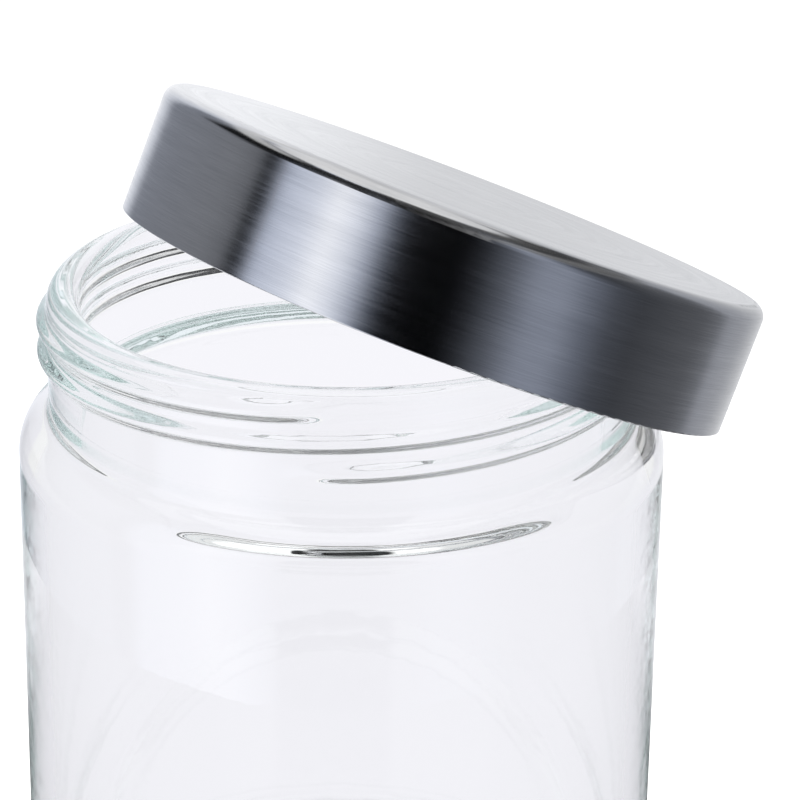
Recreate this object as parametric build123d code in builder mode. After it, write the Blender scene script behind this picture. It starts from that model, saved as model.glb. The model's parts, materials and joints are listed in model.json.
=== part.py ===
from build123d import *
import os
from math import atan, cos, degrees, radians, sin, sqrt, tan

# Spice jar: a clear glass jar with a two-start screw neck, and its brushed steel
# screw lid, taken off and leaning on the mouth. Millimetres, +Z up, with the origin
# at the centre of the face that the jar stands on.

# Glass body
body_radius = 35.0
glass_height = 90.0
wall_thickness = 2.4
floor_thickness = 4.5
push_up = 1.6
push_up_slope = 5.5
push_up_round = 8.0
stand_width = 8.5
stand_round = 1.2
heel_round = 5.0
inner_heel_round = 7.0

# Shoulder, neck and mouth
neck_inset = 3.35
lip_width = 3.35
lip_flat = 0.35
shoulder_depth = 15.55
shoulder_slope = 30.0
shoulder_round = 4.73
neck_foot_round = 1.5
slope_fill_share = 0.97
bore_edge_drop = 0.94
bore_edge_round = 4.16
inner_shoulder_drop = 0.94
inner_shoulder_round = 0.88

# Screw thread, moulded on the glass and again inside the plastic ring
thread_starts = 2
thread_lead = 6.5
glass_thread_turns = 1.0
glass_thread_height = 1.1
glass_thread_width = 2.6
glass_thread_top = 1.9
glass_thread_angle = -95.0
ring_thread_turns = 0.75
ring_thread_height = 1.0
ring_thread_width = 2.0
ring_thread_low = 3.0
thread_bury = 0.3
thread_tail = 0.08

# Lid: drawn steel cap, threaded plastic ring and sealing ring
sheet = 0.45
lid_height = 14.45
lid_corner_round = 1.6
edge_round = 0.18
ring_wall = 1.1
ring_edge_height = 1.6
ring_edge_round = 0.4
flange_thickness = 1.0
flange_round = 0.4
flange_overhang = 1.3
seal_thickness = 1.2
seal_overhang = 0.7
seal_round = 0.3
press_gap = 0.05
seal_gap = 0.15
thread_clearance = 0.3

# How the lid leans: it tips towards lean_direction, seen from above, until the steel
# roof lies on the far rim and the open edge of the skirt on both sides of the lip
lean_angle = 24.3
lean_direction = 33.4
seat_gap = 0.3

# Sizes of the glass that follow from the ones above. The two roundings at the ends of
# the shoulder's slope shrink together where the slope is too short for them.
neck_radius = body_radius - neck_inset
mouth_radius = neck_radius - lip_width
lip_round = (lip_width - lip_flat) / 2
stand_inner_radius = body_radius - stand_width
push_up_radius = stand_inner_radius - push_up_slope
body_inner_radius = body_radius - wall_thickness
neck_foot_depth = shoulder_depth - neck_inset * tan(radians(shoulder_slope))
slope_length = neck_inset / cos(radians(shoulder_slope))
slope_used = (shoulder_round + neck_foot_round) * tan(radians(90 - shoulder_slope) / 2)
slope_fit = min(1, slope_fill_share * slope_length / slope_used)
bore_depth = shoulder_depth + bore_edge_drop
inner_shoulder_depth = bore_depth + inner_shoulder_drop
glass_thread_depth = glass_thread_top + thread_lead * glass_thread_turns

# Sizes of the lid that follow
crest_radius = neck_radius + glass_thread_height
ring_inner_radius = crest_radius + thread_clearance
ring_outer_radius = ring_inner_radius + ring_wall
shell_inner_radius = ring_outer_radius + press_gap
lid_radius = shell_inner_radius + sheet
roof_height = lid_height - sheet
flange_top = roof_height - press_gap
flange_bottom = flange_top - flange_thickness
seal_top = flange_bottom - seal_gap
seal_bottom = seal_top - seal_thickness
seal_outer_radius = ring_inner_radius - seal_gap
seal_inner_radius = mouth_radius - seal_overhang
flange_inner_radius = mouth_radius - flange_overhang

# Leaning lid, worked out in the upright plane through the jar's axis along
# lean_direction. The roof touches the outer rounding of the lip, centred at
# lip_centre_radius, and lean_level is how far the lid's open edge then lies along its
# own axis from the centre of the mouth. The open edge crosses the level of the mouth
# at edge_cross from the jar's axis, and touches the lip's rounding at touch_radius.
lean = radians(lean_angle)
lip_centre_radius = neck_radius - lip_round
lip_reach = lip_round + seat_gap
lean_level = lip_centre_radius * sin(lean) - lip_round * cos(lean) + lip_reach - roof_height
edge_cross = lean_level / sin(lean)
touch_radius = lip_centre_radius + sqrt(lip_reach**2 - lip_round**2)
lean_drop = sin(lean) * sqrt(shell_inner_radius**2 - touch_radius**2 + edge_cross**2)
lean_shift = (lean_level + lean_drop * cos(lean)) / sin(lean)

# The jar's own frame stands at the centre of the mouth. The lid's frame has its origin
# at the centre of the skirt's open edge, with z along the lid's axis and out of its top.
mouth_frame = Plane.XY.offset(glass_height)
lean_turn = Location((0, 0, 0), (0, 0, lean_direction))
lean_place = Location((lean_shift, 0, -lean_drop), (0, lean_angle, 0))
unturn = Location((0, 0, 0), (0, 0, -lean_direction))
lid_frame = Plane(mouth_frame.location * lean_turn * lean_place * unturn)


def upright(frame):
    # plane through the frame's axis: x runs out from the axis and y along it
    return Plane(frame.location * Location((0, 0, 0), (90, 0, 0)))


def axis_of(frame):
    return Axis(frame.origin, frame.z_dir)


def ridge_run(base_radius, height, width, side, turns, cone=0.0):
    # a thread ridge that climbs from the x axis: a bell-shaped outline, standing out of
    # the wall at base_radius for side 1 or into the bore for side -1, swept along a
    # helix. With a cone angle the helix leaves the wall, so that the ridge sinks into it.
    foot = base_radius - side * thread_bury
    root = foot - side * thread_bury
    crest = base_radius + side * height
    pitch = thread_lead / cos(radians(cone))
    with BuildPart() as run:
        with BuildLine() as path:
            Helix(pitch, thread_lead * turns, base_radius, cone_angle=-side * cone)
        with BuildSketch(Plane.XZ):
            with BuildLine():
                Bezier((foot, -width / 2), (foot, -width / 4), (crest, -width / 4), (crest, 0))
                Bezier((crest, 0), (crest, width / 4), (foot, width / 4), (foot, width / 2))
                Polyline((foot, width / 2), (root, width / 2), (root, -width / 2), (foot, -width / 2))
            make_face()
        sweep(path=path.wire(), is_frenet=True)
    return run.part


def thread(base_radius, height, width, side, turns, trim_radius):
    # one start of the thread: a long run and a tail at each end that fades into the
    # wall. The lower tail is the upper one turned over. Nothing reaches past trim_radius.
    dive_angle = degrees(atan((height + thread_bury) / (thread_tail * thread_lead)))
    run = ridge_run(base_radius, height, width, side, turns - 2 * thread_tail)
    tail = ridge_run(base_radius, height, width, side, thread_tail, dive_angle)
    run_start = Location((0, 0, thread_lead * thread_tail), (0, 0, 360 * thread_tail))
    run_end = Location((0, 0, thread_lead * (turns - thread_tail)), (0, 0, 360 * (turns - thread_tail)))
    with BuildPart() as start:
        with Locations(run_start):
            add(run)
            add(tail, rotation=(180, 0, 0))
        with Locations(run_end):
            add(tail)
        with BuildSketch(Plane.XY.offset(-width)):
            Circle(trim_radius)
        extrude(amount=thread_lead * turns + 2 * width, mode=Mode.INTERSECT)
    return start.part


# Glass jar: one profile turned round the axis, with the thread on its neck
glass_thread = thread(
    neck_radius,
    glass_thread_height,
    glass_thread_width,
    1,
    glass_thread_turns,
    body_radius,
)
with BuildPart() as glass_jar:
    with BuildSketch(Plane.XZ):
        with BuildLine():
            outline = FilletPolyline(
                (0, push_up),
                (push_up_radius, push_up),
                (stand_inner_radius, 0),
                (body_radius, 0),
                (body_radius, glass_height - shoulder_depth),
                (neck_radius, glass_height - neck_foot_depth),
                (neck_radius, glass_height),
                (mouth_radius, glass_height),
                (mouth_radius, glass_height - bore_depth),
                (body_inner_radius, glass_height - inner_shoulder_depth),
                (body_inner_radius, floor_thickness),
                (0, floor_thickness),
                radius=[
                    push_up_round,
                    stand_round,
                    heel_round,
                    shoulder_round * slope_fit,
                    neck_foot_round * slope_fit,
                    lip_round,
                    lip_round,
                    bore_edge_round,
                    inner_shoulder_round,
                    inner_heel_round,
                ],
            )
            Line(outline @ 1, outline @ 0)
        make_face()
    revolve(axis=Axis.Z)
    with Locations((0, 0, glass_height - glass_thread_depth)):
        with PolarLocations(0, thread_starts, glass_thread_angle):
            add(glass_thread)
glass_jar.part.label = "glass_jar"

# Lid shell: drawn steel cap with a rounded corner and a smoothed open edge
with BuildPart() as lid_shell:
    with BuildSketch(upright(lid_frame)):
        with BuildLine():
            outline = FilletPolyline(
                (0, lid_height),
                (lid_radius, lid_height),
                (lid_radius, 0),
                (shell_inner_radius, 0),
                (shell_inner_radius, roof_height),
                (0, roof_height),
                radius=[lid_corner_round, edge_round, edge_round, lid_corner_round - sheet],
            )
            Line(outline @ 1, outline @ 0)
        make_face()
    revolve(axis=axis_of(lid_frame))
lid_shell.part.label = "lid_shell"

# Thread ring: moulded ring pressed into the shell, with a flange under the roof and
# the mating thread inside its wall
closed_depth = seal_bottom
mating_rise = ring_thread_low - closed_depth + glass_thread_depth
ring_thread_angle = glass_thread_angle + 360 * mating_rise / thread_lead + 360 / thread_starts / 2
flange_corner = lid_corner_round - sheet + press_gap
ring_thread = thread(
    ring_inner_radius,
    ring_thread_height,
    ring_thread_width,
    -1,
    ring_thread_turns,
    ring_inner_radius + ring_wall / 2,
)
with BuildPart() as thread_ring:
    with BuildSketch(upright(lid_frame)):
        with BuildLine():
            FilletPolyline(
                (flange_inner_radius, flange_top),
                (ring_outer_radius, flange_top),
                (ring_outer_radius, ring_edge_height),
                (ring_inner_radius, ring_edge_height),
                (ring_inner_radius, flange_bottom),
                (flange_inner_radius, flange_bottom),
                radius=[flange_round, flange_corner, edge_round, ring_edge_round, 0, flange_round],
                close=True,
            )
        make_face()
    revolve(axis=axis_of(lid_frame))
    with Locations(lid_frame.location):
        with Locations((0, 0, ring_thread_low)):
            with PolarLocations(0, thread_starts, ring_thread_angle):
                add(ring_thread)
thread_ring.part.label = "thread_ring"

# Seal ring: soft flat ring that lies against the flange and meets the top of the lip
with BuildPart() as seal_ring:
    with BuildSketch(upright(lid_frame)):
        with BuildLine():
            FilletPolyline(
                (seal_inner_radius, seal_bottom),
                (seal_outer_radius, seal_bottom),
                (seal_outer_radius, seal_top),
                (seal_inner_radius, seal_top),
                radius=seal_round,
                close=True,
            )
        make_face()
    revolve(axis=axis_of(lid_frame))
seal_ring.part.label = "seal_ring"

os.makedirs("parts", exist_ok=True)
for piece in (glass_jar, lid_shell, thread_ring, seal_ring):
    export_step(piece.part, f"parts/{piece.part.label}.step")

print("lid leans by", round(lean_shift, 2), "and", round(lean_drop, 2), "below the mouth")
print("lid radius", round(lid_radius, 2), "closed height", round(glass_height + lid_height - closed_depth, 2))
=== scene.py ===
import json
from math import ceil, cos, pi, radians, sin, tan

import bpy
from mathutils import Matrix, Vector


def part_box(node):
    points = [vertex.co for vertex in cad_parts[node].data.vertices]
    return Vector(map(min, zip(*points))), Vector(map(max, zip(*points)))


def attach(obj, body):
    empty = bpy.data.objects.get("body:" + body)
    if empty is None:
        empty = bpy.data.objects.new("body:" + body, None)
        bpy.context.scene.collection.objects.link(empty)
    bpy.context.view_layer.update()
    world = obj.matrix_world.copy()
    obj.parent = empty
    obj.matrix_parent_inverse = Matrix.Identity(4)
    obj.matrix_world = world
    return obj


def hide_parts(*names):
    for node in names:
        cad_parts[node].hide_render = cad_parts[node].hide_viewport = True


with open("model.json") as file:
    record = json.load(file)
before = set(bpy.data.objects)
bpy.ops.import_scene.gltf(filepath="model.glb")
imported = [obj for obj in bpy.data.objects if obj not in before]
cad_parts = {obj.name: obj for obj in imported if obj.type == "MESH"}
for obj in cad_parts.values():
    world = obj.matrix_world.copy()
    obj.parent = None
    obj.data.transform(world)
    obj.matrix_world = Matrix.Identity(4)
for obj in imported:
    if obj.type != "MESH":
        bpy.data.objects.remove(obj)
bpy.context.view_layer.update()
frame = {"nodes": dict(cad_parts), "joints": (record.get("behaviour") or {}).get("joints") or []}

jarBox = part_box("glass_jar")
lidTurn = next(joint for joint in frame["joints"] if joint["name"] == "lid_turn")
lidPlace = Vector(lidTurn["pos_m"])
lidAxis = Vector(lidTurn["axis"])


# Modelling helpers
def startFresh():
    if bpy.context.object and bpy.context.object.mode != "OBJECT":
        bpy.ops.object.mode_set(mode="OBJECT")
    bpy.ops.object.select_all(action="DESELECT")


def roundedLine(corners, rounds, arcStep):
    # the points of a line through corners, each inner corner rounded off by an arc
    line = [corners[0]]
    for before, corner, after, radius in zip(corners, corners[1:], corners[2:], rounds):
        back = (before - corner).normalized()
        ahead = (after - corner).normalized()
        half = back.angle(ahead) / 2
        centre = corner + (back + ahead).normalized() * radius / sin(half)
        arm = corner + back * radius / tan(half) - centre
        turn = pi - 2 * half
        if back.x * ahead.y - back.y * ahead.x > 0:
            turn = -turn
        steps = max(2, ceil(abs(turn) / arcStep))
        for step in range(steps + 1):
            line.append(centre + Matrix.Rotation(turn * step / steps, 2) @ arm)
    line.append(corners[-1])
    return line


def filledLine(line, low, high, gap):
    # extra points, at most gap apart, on the stretches between the heights low and high
    filled = [line[0]]
    for start, end in zip(line, line[1:]):
        inside = min(start.y, end.y) < high and max(start.y, end.y) > low
        parts = ceil((end - start).length / gap) if inside else 1
        for part in range(1, parts + 1):
            filled.append(start.lerp(end, part / parts))
    return filled


def evenLine(line, parts):
    # the same line as points at equal distances along it
    lengths = [(end - start).length for start, end in zip(line, line[1:])]
    gap = sum(lengths) / parts
    even = [line[0]]
    walked = 0.0
    for start, end, length in zip(line, line[1:], lengths):
        while len(even) < parts and walked + length >= gap * len(even):
            even.append(start.lerp(end, (gap * len(even) - walked) / length))
        walked += length
    even.append(line[-1])
    return even


def turnedPiece(name, line, steps, startSize=0.001, weld=1e-6):
    # a line drawn by extruding one point along it, then spun round the Z axis
    startFresh()
    first = Vector((line[0].x, 0, line[0].y))
    bpy.ops.mesh.primitive_plane_add(size=startSize, location=first)
    piece = bpy.context.object
    piece.name = piece.data.name = name
    bpy.ops.object.transform_apply(location=True, rotation=True, scale=True)
    bpy.ops.object.mode_set(mode="EDIT")
    bpy.ops.mesh.merge(type="CENTER")
    for start, end in zip(line, line[1:]):
        step = (end.x - start.x, 0, end.y - start.y)
        bpy.ops.mesh.extrude_region_move(TRANSFORM_OT_translate={"value": step})
    bpy.ops.mesh.select_all(action="SELECT")
    bpy.ops.mesh.spin(steps=steps, angle=2 * pi, center=(0, 0, 0), axis=(0, 0, 1))
    bpy.ops.mesh.select_all(action="SELECT")
    bpy.ops.mesh.remove_doubles(threshold=weld)
    bpy.ops.mesh.normals_make_consistent(inside=False)
    bpy.ops.object.mode_set(mode="OBJECT")
    bpy.ops.object.shade_smooth()
    return piece


# Material helpers
class Wire:  # one output of a node, with Python's operators as Math nodes
    def __init__(self, tree, socket):
        self.tree = tree
        self.socket = socket

    def maths(self, operation, first, second=None):
        values = {0: first} if second is None else {0: first, 1: second}
        return addNode(self.tree, "ShaderNodeMath", {"operation": operation}, values)

    def output(self, name):
        return Wire(self.tree, self.socket.node.outputs[name])

    def __add__(self, other):
        return self.maths("ADD", self, other)

    def __radd__(self, other):
        return self.maths("ADD", other, self)

    def __sub__(self, other):
        return self.maths("SUBTRACT", self, other)

    def __rsub__(self, other):
        return self.maths("SUBTRACT", other, self)

    def __mul__(self, other):
        return self.maths("MULTIPLY", self, other)

    def __rmul__(self, other):
        return self.maths("MULTIPLY", other, self)

    def __truediv__(self, other):
        return self.maths("DIVIDE", self, other)

    def __rtruediv__(self, other):
        return self.maths("DIVIDE", other, self)


def addNode(tree, kind, settings=None, values=None, output=0):
    # one node of any type: its settings first, then the values or links of its sockets
    node = tree.nodes.new(kind)
    for key, value in (settings or {}).items():
        if key == "stops":
            ramp = node.color_ramp.elements
            while len(ramp) < len(value):
                ramp.new(1.0)
            for stop, (place, colour) in zip(ramp, value):
                stop.position = place
                stop.color = colour
        else:
            setattr(node, key, value)
    for key, value in (values or {}).items():
        if isinstance(value, Wire):
            tree.links.new(value.socket, node.inputs[key])
        else:
            node.inputs[key].default_value = value
    return Wire(tree, node.outputs[output]) if len(node.outputs) else node


def newMaterial(name):
    material = bpy.data.materials.new(name)
    material.use_nodes = True
    material.node_tree.nodes.clear()
    return material, material.node_tree


def finishMaterial(tree, surface, volume=None):
    links = {"Surface": surface}
    if volume:
        links["Volume"] = volume
    addNode(tree, "ShaderNodeOutputMaterial", {}, links)


def noiseOn(tree, vector, scale, detail, gain=0.5):
    values = {"Vector": vector, "Scale": scale, "Detail": detail, "Roughness": gain}
    return addNode(tree, "ShaderNodeTexNoise", {"noise_dimensions": "3D"}, values, "Fac")


def swingOn(*noise):
    # noise that swings about nought
    return noiseOn(*noise) - 0.5


def bumpOn(tree, height, distance):
    return addNode(tree, "ShaderNodeBump", {}, {"Height": height, "Distance": distance})


def mixOn(tree, factor, first, second):
    values = {"Factor": factor, "A": first, "B": second}
    return addNode(tree, "ShaderNodeMix", {"data_type": "RGBA"}, values, "Result")


def rampOn(tree, place, stops):
    return addNode(tree, "ShaderNodeValToRGB", {"stops": stops}, {0: place})


def vectorOn(tree, operation, values, output=0):
    return addNode(tree, "ShaderNodeVectorMath", {"operation": operation}, values, output)


def clampOn(wire):
    return wire.maths("MINIMUM", wire.maths("MAXIMUM", wire, 0.0), 1.0)


def dressNode(nodeName, material):
    for slot in frame["nodes"][nodeName].material_slots:
        slot.material = material


# Glass jar
glass = {
    "bodyRadius": jarBox[1].x,
    "height": jarBox[1].z,
    "wall": 0.0024,
    "floor": 0.0045,
    "pushUp": 0.0016,
    "pushUpRadius": 0.021,
    "standInnerRadius": 0.0265,
    "neckRadius": 0.03165,
    "mouthRadius": 0.0283,
    "shoulderDepth": 0.01555,
    "shoulderSlope": radians(30),
    "pushUpRound": 0.008,
    "standRound": 0.0012,
    "heelRound": 0.005,
    "shoulderRound": 0.00473,
    "neckFootRound": 0.0015,
    "lipRound": 0.0015,
    "innerHeelRound": 0.007,
    "arcStep": radians(4),
    "bandGap": 0.0002,
    "steps": 256,
    # the inside of the shoulder is uneven: sharp in front, and rounder at the sides and back
    "insideTop": 0.0105,
    "insideLow": 0.0245,
    "insideParts": 100,
    "insideFront": {"bore": 0.01649, "shoulder": 0.01743, "edgeRound": 0.00416, "cornerRound": 0.00088},
    "insideSide": {"bore": 0.0146, "shoulder": 0.0174, "edgeRound": 0.0022, "cornerRound": 0.004},
    "insideMatch": 1e-5,  # how near to this line a point of the mesh belongs to it
    "frontAt": radians(-85),
    "frontHalf": radians(27),
    "frontFade": radians(20),
    # how it looks: very faint waves, and a green tint where it is thick
    "ior": 1.51,
    "waveScale": 90,
    "rippleScale": 400,
    "waveShare": 0.7,
    "waveDetail": 1.0,
    "waveDepth": 0.00002,
    "tint": (0.72, 0.92, 0.90, 1),
    "tintDensity": 5.0,
}
# The thread on the neck. Its depth and angle are where the first start begins, at its low end,
# and fade is the share of a turn over which an end sinks into the neck.
screw = {
    "starts": 2,
    "lead": 0.0065,
    "turns": 1.04,
    "height": 0.0011,
    "width": 0.0029,
    "depth": 0.00853,
    "angle": radians(-102.2),
    "fade": 0.05,
}


def insideLine(form):
    # the inside of the glass round the shoulder, from the bore down to the body's wall
    top = glass["height"]
    inner = glass["bodyRadius"] - glass["wall"]
    corners = [
        Vector((glass["mouthRadius"], top - glass["insideTop"])),
        Vector((glass["mouthRadius"], top - form["bore"])),
        Vector((inner, top - form["shoulder"])),
        Vector((inner, top - glass["insideLow"])),
    ]
    line = roundedLine(corners, [form["edgeRound"], form["cornerRound"]], glass["arcStep"] / 2)
    return evenLine(line, glass["insideParts"])


def glassLine():
    top = glass["height"]
    inner = glass["bodyRadius"] - glass["wall"]
    neckFoot = glass["shoulderDepth"]
    neckFoot -= (glass["bodyRadius"] - glass["neckRadius"]) * tan(glass["shoulderSlope"])
    outside = [
        (0, glass["pushUp"]),
        (glass["pushUpRadius"], glass["pushUp"]),
        (glass["standInnerRadius"], 0),
        (glass["bodyRadius"], 0),
        (glass["bodyRadius"], top - glass["shoulderDepth"]),
        (glass["neckRadius"], top - neckFoot),
        (glass["neckRadius"], top),
        (glass["mouthRadius"], top),
        (glass["mouthRadius"], top - glass["insideTop"]),
    ]
    names = ["pushUp", "stand", "heel", "shoulder", "neckFoot", "lip", "lip"]
    rounds = [glass[name + "Round"] for name in names]
    line = roundedLine([Vector(corner) for corner in outside], rounds, glass["arcStep"])
    line = filledLine(line, top - neckFoot, top - glass["lipRound"], glass["bandGap"])
    inside = [(inner, top - glass["insideLow"]), (inner, glass["floor"]), (0, glass["floor"])]
    floor = roundedLine([Vector(corner) for corner in inside], [glass["innerHeelRound"]], glass["arcStep"])
    return line[:-1] + insideLine(glass["insideFront"]) + floor[1:]


def roundSides(jar):
    # moves the inside of the shoulder to its rounder form, away from the front
    front = insideLine(glass["insideFront"])
    side = insideLine(glass["insideSide"])
    for point in jar.data.vertices:
        place = point.co
        reach = place.to_2d().length
        if not front[-1].y < place.z < front[0].y or reach > front[-1].x + glass["insideMatch"]:
            continue
        number = min(range(len(front)), key=lambda n: abs(front[n].y - place.z))
        if abs(front[number].x - reach) > glass["insideMatch"]:
            continue
        around = place.to_2d().angle_signed(Vector((1, 0))) - glass["frontAt"]
        off = abs((around + pi) % (2 * pi) - pi)
        share = min(1, max(0, (off - glass["frontHalf"]) / glass["frontFade"]))
        share *= share * (3 - 2 * share)
        goal = front[number].lerp(side[number], share)
        point.co = (place.x * goal.x / reach, place.y * goal.x / reach, goal.y)


def threadPush(place):
    # how far, from 0 to 1, the thread stands out of the neck at this place
    push = 0.0
    around = (place.to_2d().angle_signed(Vector((1, 0))) - screw["angle"]) / (2 * pi)
    for start in range(screw["starts"]):
        share = (around - start / screw["starts"]) % 1
        for turn in range(ceil(screw["turns"]) + 1):
            run = share + turn
            if run > screw["turns"]:
                continue
            middle = glass["height"] - screw["depth"] + screw["lead"] * run
            off = abs(place.z - middle) / (screw["width"] / 2)
            if off >= 1:
                continue
            ends = min(run, screw["turns"] - run) / screw["fade"]
            fade = min(1, ends) ** 2 * (3 - 2 * min(1, ends))
            bell = (1 + cos(pi * off)) / 2
            push = max(push, bell * fade)
    return push


def makeJar():
    jar = turnedPiece("jarGlass", glassLine(), glass["steps"])
    roundSides(jar)
    low = glass["height"] - screw["depth"] - screw["width"]
    high = glass["height"] - glass["lipRound"] / 2
    outer = (glass["neckRadius"] + glass["mouthRadius"]) / 2
    group = jar.vertex_groups.new(name="thread")
    for point in jar.data.vertices:
        if low < point.co.z < high and point.co.to_2d().length > outer:
            group.add([point.index], threadPush(point.co), "REPLACE")
    push = jar.modifiers.new("thread", "DISPLACE")
    push.vertex_group = "thread"
    push.strength = screw["height"]
    push.mid_level = 0
    bpy.ops.object.modifier_apply(modifier="thread")
    return jar


def glassMaterial():
    material, tree = newMaterial("clearGlass")
    place = addNode(tree, "ShaderNodeTexCoord", {}, {}, "Object")
    wave = swingOn(tree, place, glass["waveScale"], glass["waveDetail"])
    ripple = swingOn(tree, place, glass["rippleScale"], glass["waveDetail"])
    waves = wave * glass["waveShare"] + ripple * (1 - glass["waveShare"])
    surface = addNode(tree, "ShaderNodeBsdfPrincipled", {}, {
        "Base Color": (1, 1, 1, 1),
        "Roughness": 0,
        "IOR": glass["ior"],
        "Transmission Weight": 1,
        "Normal": bumpOn(tree, waves, glass["waveDepth"]),
    })
    body = addNode(tree, "ShaderNodeVolumeAbsorption", {}, {
        "Color": glass["tint"],
        "Density": glass["tintDensity"],
    })
    finishMaterial(tree, surface, body)
    return material


jar = makeJar()
jar.data.materials.append(glassMaterial())
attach(jar, "jar")
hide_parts("glass_jar")
print("glass jar made,", len(jar.data.polygons), "faces")


# Steel lid
steel = {
    "dark": (0.50, 0.505, 0.52, 1),
    "pale": (0.72, 0.72, 0.73, 1),
    "contrast": 1.8,
    "roughness": 0.17,
    "roughnessSwing": 0.1,
    # the brushing in rings: streaks round the lid, lines across a metre, and how much they show
    "fine": {"along": 6, "across": 12000, "detail": 1.5, "gain": 0.6, "share": 0.6},
    "broad": {"along": 5, "across": 3600, "detail": 1, "gain": 0.5, "share": 0.15},
    "wide": {"along": 1, "across": 650, "detail": 0, "gain": 0.5, "share": 0.25},
    "rings": {"along": 1.5, "across": 3400, "detail": 0, "gain": 0.5},
    "depth": 0.000002,
    # above this height over the open edge, on the lid's top, the rings show more
    "topHeight": 0.01435,
    "topShare": 0.3,
}


def lidCoordinates(tree):
    # the place in the lid's own frame: its origin at the middle of the open edge
    place = addNode(tree, "ShaderNodeTexCoord", {}, {}, "Object")
    turn = lidAxis.to_track_quat("Z", "Y").to_euler()
    return addNode(tree, "ShaderNodeMapping", {"vector_type": "TEXTURE"}, {
        "Vector": place,
        "Location": lidPlace,
        "Rotation": turn,
    })


def ringCoordinates(tree, along, across):
    # stretched round the lid's axis
    place = lidCoordinates(tree)
    flat = vectorOn(tree, "MULTIPLY", {0: place, 1: (1, 1, 0)})
    reach = vectorOn(tree, "LENGTH", {0: flat}, "Value")
    around = vectorOn(tree, "NORMALIZE", {0: flat})
    around = vectorOn(tree, "SCALE", {0: around, "Scale": along})
    height = addNode(tree, "ShaderNodeSeparateXYZ", {}, {0: place}, "Z")
    lines = addNode(tree, "ShaderNodeCombineXYZ", {}, {"Z": (height + reach) * across})
    return vectorOn(tree, "ADD", {0: around, 1: lines})


def brushing(tree, name):
    lines = steel[name]
    place = ringCoordinates(tree, lines["along"], lines["across"])
    return swingOn(tree, place, 1.0, lines["detail"], lines["gain"])


def steelMaterial():
    material, tree = newMaterial("brushedSteel")
    fine = brushing(tree, "fine")
    broad = brushing(tree, "broad")
    wide = brushing(tree, "wide")
    height = addNode(tree, "ShaderNodeSeparateXYZ", {}, {0: lidCoordinates(tree)}, "Z")
    top = height.maths("GREATER_THAN", height, steel["topHeight"])
    shade = top * steel["topShare"] * (wide + brushing(tree, "rings"))
    for noise, name in ((fine, "fine"), (broad, "broad"), (wide, "wide")):
        shade = shade + noise * steel[name]["share"]
    surface = addNode(tree, "ShaderNodeBsdfPrincipled", {}, {
        "Base Color": mixOn(tree, shade * steel["contrast"] + 0.5, steel["dark"], steel["pale"]),
        "Metallic": 1,
        "Roughness": steel["roughness"] + steel["roughnessSwing"] * broad,
        "Normal": bumpOn(tree, fine, steel["depth"]),
    })
    finishMaterial(tree, surface)
    return material


dressNode("lid_shell", steelMaterial())


# Plastic ring and seal, both moulded and with the same fine grain, in their own colours
ring = {
    "pale": (0.9, 0.9, 0.88, 1),
    "dark": (0.84, 0.84, 0.82, 1),
    "roughness": 0.4,
    "grainScale": 3000,
}
seal = {
    "pale": (0.84, 0.85, 0.84, 1),
    "dark": (0.76, 0.77, 0.76, 1),
    "roughness": 0.6,
    "grainScale": 5000,
}
moulded = {
    "cloudScale": 150,
    "cloudDetail": 3,
    "grainDetail": 2,
    "grainDepth": 0.00002,
    "roughnessSwing": 0.15,
}


def mouldedMaterial(name, piece):
    material, tree = newMaterial(name)
    place = lidCoordinates(tree)
    cloud = noiseOn(tree, place, moulded["cloudScale"], moulded["cloudDetail"])
    grain = swingOn(tree, place, piece["grainScale"], moulded["grainDetail"])
    surface = addNode(tree, "ShaderNodeBsdfPrincipled", {}, {
        "Base Color": mixOn(tree, cloud, piece["pale"], piece["dark"]),
        "Roughness": piece["roughness"] + moulded["roughnessSwing"] * grain,
        "Normal": bumpOn(tree, grain, moulded["grainDepth"]),
    })
    finishMaterial(tree, surface)
    return material


dressNode("thread_ring", mouldedMaterial("ringPlastic", ring))
dressNode("seal_ring", mouldedMaterial("sealSilicone", seal))
print("lid dressed")


# Studio
studio = {
    "floorSize": 12.0,
    "floorColour": (0.93, 0.93, 0.93, 1),
    # how much of the floor glows for the camera: less near the jar, so that its shadow shows
    "floorNearGlow": 0.6,
    "floorFarGlow": 0.95,
    "shadowReach": 0.11,
    "shadowFade": 0.16,
    "floorThroughGlass": (0.93, 0.925, 0.97, 1),
    "floorMirrorLoss": 0.85,
    "backStart": 0.06,
    "backFade": 0.03,
    "airLevel": 0.8,
    "roomSides": 96,
    "blueLoss": 0.4,  # how much red a fully blue band loses
    # place, size and power of the lamps, all aimed at the mouth
    "lamps": [
        ((-0.55, -0.45, 0.75), (0.55, 0.45), 22.0),
        ((0.42, -0.62, 0.80), (0.35, 0.45), 14.0),
        ((0.1, 0.7, 0.9), (0.7, 0.5), 16.0),
    ],
}

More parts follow.
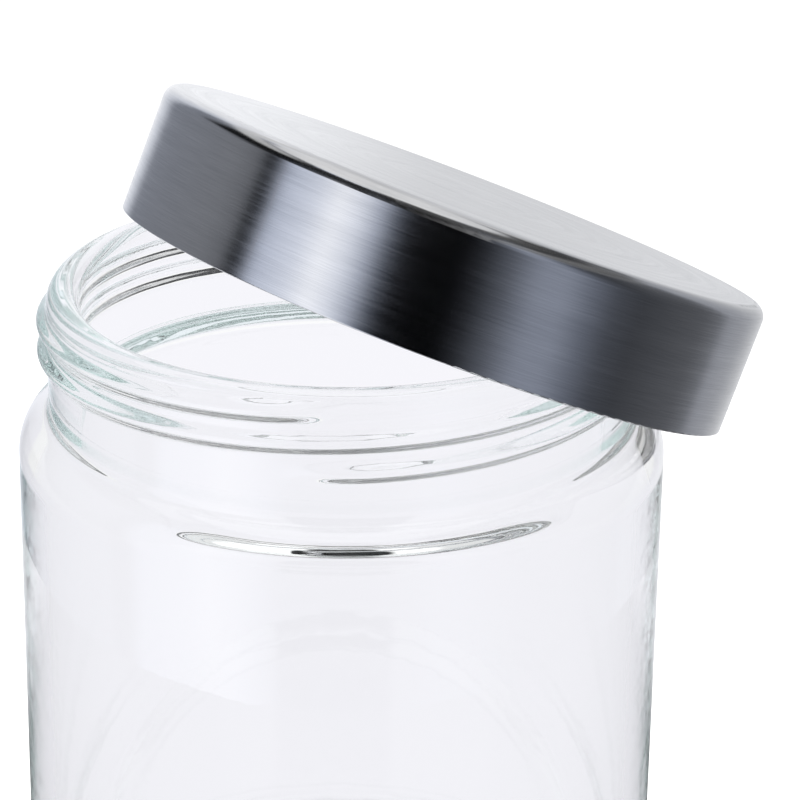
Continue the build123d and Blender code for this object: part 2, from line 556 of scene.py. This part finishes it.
# What the steel mirrors: soft boxes and dark gaps on a round wall. A band is an azimuth in
# degrees from +X, a brightness and how blue it is, and a rise is a height and a share of that
# brightness. Patches hang in front of the bands, in a colour of their own.
lidRoom = {
    "radius": 0.14,
    "low": 0.004,
    "high": 0.34,
    "bands": [
        (-180, 0.26, 0.10), (-169, 0.20, 0.10), (-165, 0.0, 0.2), (-160, 0.02, 0.2), (-154, 0.78, 0.2),
        (-140, 1.04, 0.13), (-130, 1.45, 0.04), (-122, 1.15, 0.1), (-115, 0.6, 0.2), (-109, 0.10, 0.3),
        (-104, 0.0, 0.1), (-84, 0.0, 0.1), (-78, 0.03, 0.2), (-70, 0.14, 0.2), (-61, 0.36, 0.22),
        (-53, 0.37, 0.22), (-45, 0.20, 0.25), (-37, 0.09, 0.2), (-28, 0.065, 0.15), (0, 0.14, 0.1),
        (10, 0.23, 0.1), (15, 0.41, 0.1), (30, 0.48, 0.07), (48, 0.70, 0.03), (60, 0.86, 0.03),
        (73, 0.77, 0.03), (82, 0.78, 0.03), (92, 1.06, 0.03), (106, 1.12, 0.03), (122, 0.80, 0.1),
        (131, 0.30, 0.16), (180, 0.26, 0.1),
    ],
    "rises": [(0.004, 1.0), (0.158, 1.0), (0.178, 0.02), (0.30, 0.02), (0.32, 1.0), (0.34, 1.0)],
    "patchColour": (1, 1, 1, 1),
    "patches": [
        (-180, 0), (-130, 0), (-100, 0.25), (-75, 0.5), (-45, 0.5), (-20, 0.45), (20, 0.35), (45, 0),
        (180, 0),
    ],
    "patchRises": [(0.004, 0), (0.15, 0), (0.18, 1), (0.2, 1), (0.215, 0.5), (0.3, 0.5), (0.34, 1)],
}

# A ring just inside the lid's room and high up, so that the lid's top isn't black from the side
highRoom = {
    "radius": 0.138,
    "low": 0.238,
    "high": 0.30,
    "bands": [
        (-180, 0.62), (-170, 0.5), (-158, 0.02), (-125, 0.02), (-100, 0.05), (-75, 0.1), (-20, 0.1),
        (20, 0.08), (40, 0.8), (140, 0.8), (160, 0.62), (180, 0.62),
    ],
}

# What shows through the glass above the white floor: two tall soft boxes with a dark gap
# between them on the camera's side, and a low dark patch behind the jar
glassRoom = {
    "radius": 0.6,
    "low": 0.14,
    "high": 3.0,
    "bands": [
        (-180, 0.8), (-162, 0.8), (-158, 1.2), (-114, 1.2), (-110, 0.01), (-64, 0.01), (-60, 1.2),
        (-40, 1.2), (-34, 0.8), (180, 0.8),
    ],
    "patchColour": (0, 0, 0, 1),
    "patches": [(-180, 0), (56, 0), (64, 1), (100, 1), (108, 0), (180, 0)],
    "patchRises": [(0.14, 1), (0.25, 1), (0.29, 0), (3, 0)],
}


def lookRays(tree):
    # one for a ray that looks at the scene, nought for a ray that gathers light
    path = addNode(tree, "ShaderNodeLightPath")
    looks = path.maths("MAXIMUM", path, path.output("Is Glossy Ray"))
    return path.maths("MAXIMUM", looks, path.output("Is Transmission Ray"))


def backShare(depth):
    # from nought in front of the jar to one behind it
    return clampOn((depth - studio["backStart"]) / studio["backFade"])


def glowOn(tree, colour, strength):
    # a glow whose strength varies, with the strength taken into its colour
    glow = vectorOn(tree, "SCALE", {0: colour, "Scale": strength})
    return addNode(tree, "ShaderNodeEmission", {}, {"Color": glow})


def makeFloor():
    startFresh()
    bpy.ops.mesh.primitive_plane_add(size=studio["floorSize"], location=(0, 0, 0))
    ground = bpy.context.object
    ground.name = "floorSheet"
    material, tree = newMaterial("paleFloor")
    lit = addNode(tree, "ShaderNodeBsdfDiffuse", {}, {"Color": studio["floorColour"]})
    path = addNode(tree, "ShaderNodeLightPath")
    through = path.output("Is Transmission Ray")
    mirrored = path.output("Is Glossy Ray") * (1 - through)
    colour = mixOn(tree, path, studio["floorThroughGlass"], (1, 1, 1, 1))
    place = addNode(tree, "ShaderNodeTexCoord", {}, {}, "Object")
    depth = addNode(tree, "ShaderNodeSeparateXYZ", {}, {0: place}, "Y")
    strength = 1 - mirrored * studio["floorMirrorLoss"] * (1 - backShare(depth))
    glow = glowOn(tree, colour, strength)
    reach = vectorOn(tree, "LENGTH", {0: place}, "Value")
    far = clampOn((reach - studio["shadowReach"]) / studio["shadowFade"])
    seen = studio["floorNearGlow"] + far * (studio["floorFarGlow"] - studio["floorNearGlow"])
    share = path * seen + through + mirrored
    finishMaterial(tree, addNode(tree, "ShaderNodeMixShader", {}, {0: share, 1: lit, 2: glow}))
    ground.data.materials.append(material)


def makeWorld():
    world = bpy.data.worlds.new("studioAir")
    bpy.context.scene.world = world
    world.use_nodes = True
    tree = world.node_tree
    tree.nodes.clear()
    air = addNode(tree, "ShaderNodeBackground", {}, {"Color": (1, 1, 1, 1), "Strength": studio["airLevel"]})
    white = addNode(tree, "ShaderNodeBackground", {}, {"Color": (1, 1, 1, 1), "Strength": 1.0})
    mixed = addNode(tree, "ShaderNodeMixShader", {}, {0: lookRays(tree), 1: air, 2: white})
    addNode(tree, "ShaderNodeOutputWorld", {}, {"Surface": mixed})


def makeLamps():
    aim = Vector((0, 0, glass["height"]))
    for number, (place, size, power) in enumerate(studio["lamps"]):
        lamp = bpy.data.lights.new("softLamp" + str(number), "AREA")
        lamp.shape = "RECTANGLE"
        lamp.size, lamp.size_y = size
        lamp.energy = power
        holder = bpy.data.objects.new(lamp.name, lamp)
        bpy.context.scene.collection.objects.link(holder)
        holder.location = place
        holder.rotation_euler = (aim - Vector(place)).to_track_quat("-Z", "Y").to_euler()
        holder.visible_glossy = False
        holder.visible_transmission = False


def bandStops(bands):
    # the stops of a colour ramp round a room, which starts and ends at the azimuth 180
    stops = []
    for azimuth, level, *tint in bands:
        blue = tint[0] if tint else 0
        colour = (level * (1 - blue * studio["blueLoss"]), level, level * (1 + blue), 1)
        stops.append((azimuth / 360 + 0.5, colour))
    return stops


def riseStops(rises, low, high):
    # the stops of a ramp up a room's wall
    return [((rise - low) / (high - low), (level, level, level, 1)) for rise, level in rises]


def hideStage(screen):
    # only mirrored and refracted rays see a screen of the studio
    screen.visible_camera = False
    screen.visible_diffuse = False
    screen.visible_shadow = False
    screen.visible_volume_scatter = False


def makeRoom(name, room):
    # a bare round wall whose brightness changes round it and with the height
    startFresh()
    low, high = room["low"], room["high"]
    bpy.ops.mesh.primitive_cylinder_add(
        vertices=studio["roomSides"],
        radius=room["radius"],
        depth=high - low,
        end_fill_type="NOTHING",
        location=(0, 0, (high + low) / 2),
    )
    screen = bpy.context.object
    screen.name = name
    bpy.ops.object.transform_apply(location=True, rotation=True, scale=True)
    material, tree = newMaterial(name)
    place = addNode(tree, "ShaderNodeTexCoord", {}, {}, "Object")
    x = addNode(tree, "ShaderNodeSeparateXYZ", {}, {0: place})
    around = x.maths("ARCTAN2", x.output("Y"), x) / (2 * pi) + 0.5
    rise = (x.output("Z") - low) / (high - low)
    colour = rampOn(tree, around, bandStops(room["bands"]))
    strength = 1.0
    if "rises" in room:
        strength = rampOn(tree, rise, riseStops(room["rises"], low, high))
        strength = strength.maths("MAXIMUM", strength, backShare(x.output("Y")))
    if "patches" in room:
        patch = rampOn(tree, around, bandStops(room["patches"]))
        patch = patch * rampOn(tree, rise, riseStops(room["patchRises"], low, high))
        colour = mixOn(tree, patch, colour, room["patchColour"])
        strength = patch.maths("MAXIMUM", strength, patch)
    finishMaterial(tree, glowOn(tree, colour, strength))
    screen.data.materials.append(material)
    hideStage(screen)
    return screen


makeFloor()
makeWorld()
makeLamps()
makeRoom("lidRoom", lidRoom).visible_transmission = False
makeRoom("highRoom", highRoom).visible_transmission = False
makeRoom("glassRoom", glassRoom).visible_glossy = False
print("studio ready")


# Camera
lens = {
    "distance": 0.34336,
    "elevation": radians(20.306),
    "yaw": radians(1.028),
    "pitch": radians(-2.080),
    "roll": radians(0.452),
    "length": 144.53,
    "sensor": 36,
    "near": 0.01,
    "far": 50,
    "bounces": 64,  # light that is caught in the glass needs many
}


def makeCamera():
    camera = bpy.data.objects.new("camera", bpy.data.cameras.new("camera"))
    bpy.context.scene.collection.objects.link(camera)
    camera.data.lens = lens["length"]
    camera.data.sensor_width = lens["sensor"]
    camera.data.clip_start = lens["near"]
    camera.data.clip_end = lens["far"]
    mouth = Vector((0, 0, glass["height"]))
    place = mouth + lens["distance"] * Vector((0, -cos(lens["elevation"]), sin(lens["elevation"])))
    aim = Matrix.Rotation(pi / 2 - lens["elevation"], 4, "X") @ Matrix.Rotation(-lens["yaw"], 4, "Y")
    aim = aim @ Matrix.Rotation(lens["pitch"], 4, "X") @ Matrix.Rotation(lens["roll"], 4, "Z")
    camera.matrix_world = Matrix.Translation(place) @ aim
    bpy.context.scene.camera = camera


makeCamera()
cycles = bpy.context.scene.cycles
cycles.max_bounces = cycles.glossy_bounces = cycles.transmission_bounces = lens["bounces"]
bpy.context.scene.view_settings.view_transform = "Standard"
startFresh()
